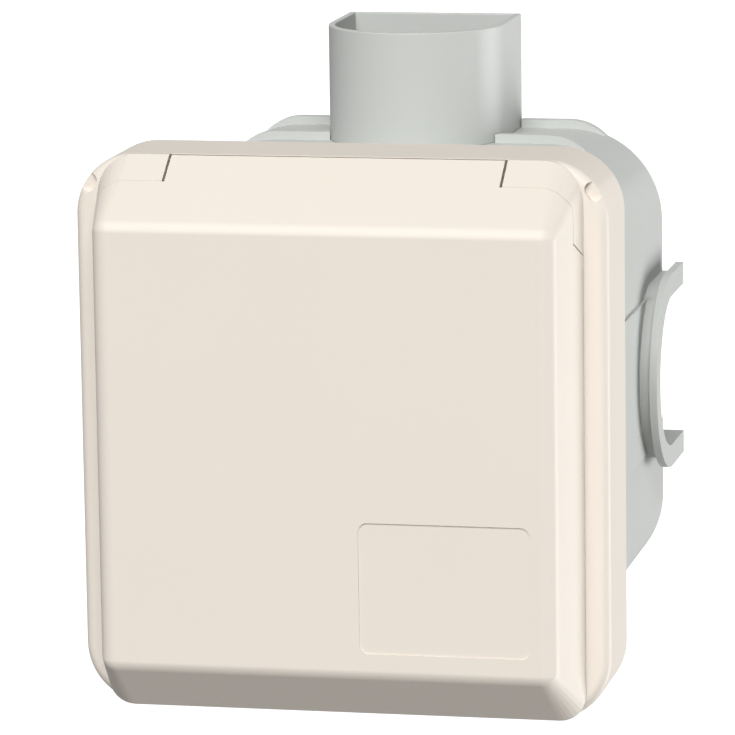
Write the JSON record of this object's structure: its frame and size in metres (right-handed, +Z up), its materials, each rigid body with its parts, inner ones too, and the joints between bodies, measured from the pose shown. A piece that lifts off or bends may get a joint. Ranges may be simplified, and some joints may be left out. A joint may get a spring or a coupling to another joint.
{
  "type": "flush wall socket",
  "caption": "Square flush wall socket for a round industrial plug: contact insert under a sprung hinged lid, recessed box behind with a cable duct above and a collar at the side.",
  "frame": {"origin": "middle of the cover frame's rear edge, in the wall plane", "axes": "+Y into the wall, -Y towards the user, +Z up, +X to the right as seen by the user"},
  "size_m": [0.121, 0.129, 0.1461],
  "materials": {
    "cream_plastic": "satin",
    "grey_plastic": "matte",
    "red_plastic": "satin",
    "black_rubber": "matte",
    "brass": "satin",
    "steel": "satin"
  },
  "bodies": {
    "base": {"flush_box": "grey_plastic", "duct_tube": "grey_plastic", "box_inserts": "brass", "cover_frame": "cream_plastic", "frame_gasket": "black_rubber", "cover_screws": "steel", "screw_washers": "black_rubber", "insert_housing": "cream_plastic", "insert_gasket": "black_rubber", "insert_screws": "steel", "contact_carrier": "red_plastic", "terminal_plate": "red_plastic", "pole_contacts": "brass", "earth_contact": "brass", "contact_clips": "steel", "terminal_screws": "steel", "carrier_screws": "steel", "hinge_pin": "steel", "lid_spring": "steel"},
    "lid_body": {"lid": "cream_plastic", "lid_seal": "black_rubber"}
  },
  "joints": [
    {"name": "lid_hinge", "type": "hinge", "parent": "base", "child": "lid_body", "pos_m": [0, -0.02372, 0.05766], "axis": [-1, 0, 0], "range_deg": [0, 100], "stiffness_Nm_per_rad": 0.06, "springref_deg": -45.84, "deforming": ["lid_spring"]}
  ]
}
